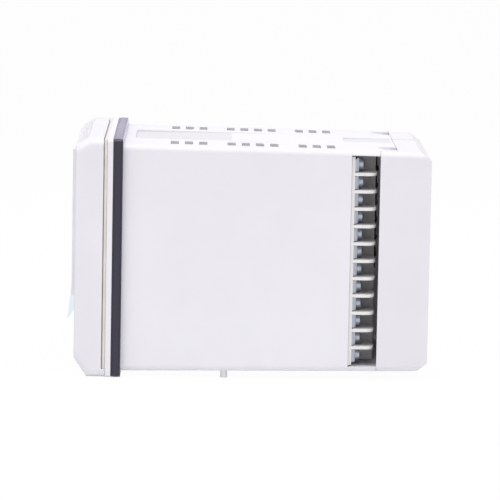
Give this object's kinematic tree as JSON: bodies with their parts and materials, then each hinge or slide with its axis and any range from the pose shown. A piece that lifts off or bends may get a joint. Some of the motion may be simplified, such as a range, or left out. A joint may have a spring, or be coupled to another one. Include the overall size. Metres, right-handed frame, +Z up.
{
  "type": "panel-mount process controller",
  "caption": "Square panel-mount process controller with a drawn-out front unit, keys, vented case, screw terminals open at both sides and a rear terminal cover.",
  "frame": {"origin": "centre of the panel cut-out, on the front surface of the panel", "axes": "+X to the right of a person facing the front, +Y back through the panel, +Z up"},
  "size_m": [0.096, 0.1448, 0.096],
  "materials": {
    "housing": "fine-grained off-white moulding",
    "terminal_block": "off-white moulding",
    "black_terminal_block": "black moulding",
    "gasket": "matt rubber",
    "seal": "cream foam rubber",
    "window": "smoked clear plastic",
    "film": "light blue clear film",
    "key": "satin grey moulding",
    "screw": "zinc plated",
    "washer": "zinc plated",
    "contact": "tinned",
    "board": "green laminate",
    "connector": "black moulding",
    "chip": "black moulding",
    "relay": "blue cap",
    "display": "dark glass cells",
    "core": "varnished laminations",
    "winding": "yellow tape",
    "capacitor": "sleeved can",
    "fuse": "ceramic tube"
  },
  "bodies": {
    "case": {"case_shell": "housing", "panel_gasket": "gasket", "rear_board": "board", "rear_board_screws": "screw", "main_socket": "connector", "option_socket": "connector", "power_socket": "connector", "terminal_block_right": "terminal_block", "terminal_contacts_right": "contact", "terminal_washers_right": "washer", "terminal_screws_right": "screw", "terminal_block_left": "terminal_block", "terminal_contacts_left": "contact", "terminal_washers_left": "washer", "terminal_screws_left": "screw", "terminal_block_centre": "black_terminal_block", "terminal_contacts_centre": "contact", "terminal_washers_centre": "washer", "terminal_screws_centre": "screw"},
    "front_unit": {"bezel": "housing", "bezel_seal": "seal", "display_window": "window", "protective_film": "film", "front_board": "board", "front_carrier": "housing", "main_board": "board", "option_board": "board", "power_board": "board", "display_module": "display", "front_board_screws": "screw", "key_switches": "connector", "main_header": "connector", "option_header": "connector", "power_header": "connector", "processor": "chip", "converter": "chip", "relay_upper": "relay", "relay_lower": "relay", "isolators": "chip", "transformer_core": "core", "transformer_winding": "winding", "mains_capacitor": "capacitor", "output_capacitor": "capacitor", "mains_fuse": "fuse"},
    "key_1": {"key_1": "key"},
    "key_2": {"key_2": "key"},
    "key_3": {"key_3": "key"},
    "key_4": {"key_4": "key"},
    "key_5": {"key_5": "key"},
    "terminal_cover": {"terminal_cover": "housing"}
  },
  "joints": [
    {"name": "front_unit_slide", "type": "slide", "parent": "case", "child": "front_unit", "axis": [0, -1, 0], "range_m": [0, 0.1]},
    {"name": "terminal_cover_slide", "type": "slide", "parent": "case", "child": "terminal_cover", "axis": [0, 1, 0], "range_m": [0, 0.03]},
    {"name": "key_1_press", "type": "slide", "parent": "front_unit", "child": "key_1", "axis": [0, 1, 0], "range_m": [0, 0.0008], "stiffness_N_per_m": 600},
    {"name": "key_2_press", "type": "slide", "parent": "front_unit", "child": "key_2", "axis": [0, 1, 0], "range_m": [0, 0.0008], "stiffness_N_per_m": 600},
    {"name": "key_3_press", "type": "slide", "parent": "front_unit", "child": "key_3", "axis": [0, 1, 0], "range_m": [0, 0.0008], "stiffness_N_per_m": 600},
    {"name": "key_4_press", "type": "slide", "parent": "front_unit", "child": "key_4", "axis": [0, 1, 0], "range_m": [0, 0.0008], "stiffness_N_per_m": 600},
    {"name": "key_5_press", "type": "slide", "parent": "front_unit", "child": "key_5", "axis": [0, 1, 0], "range_m": [0, 0.0008], "stiffness_N_per_m": 600}
  ]
}
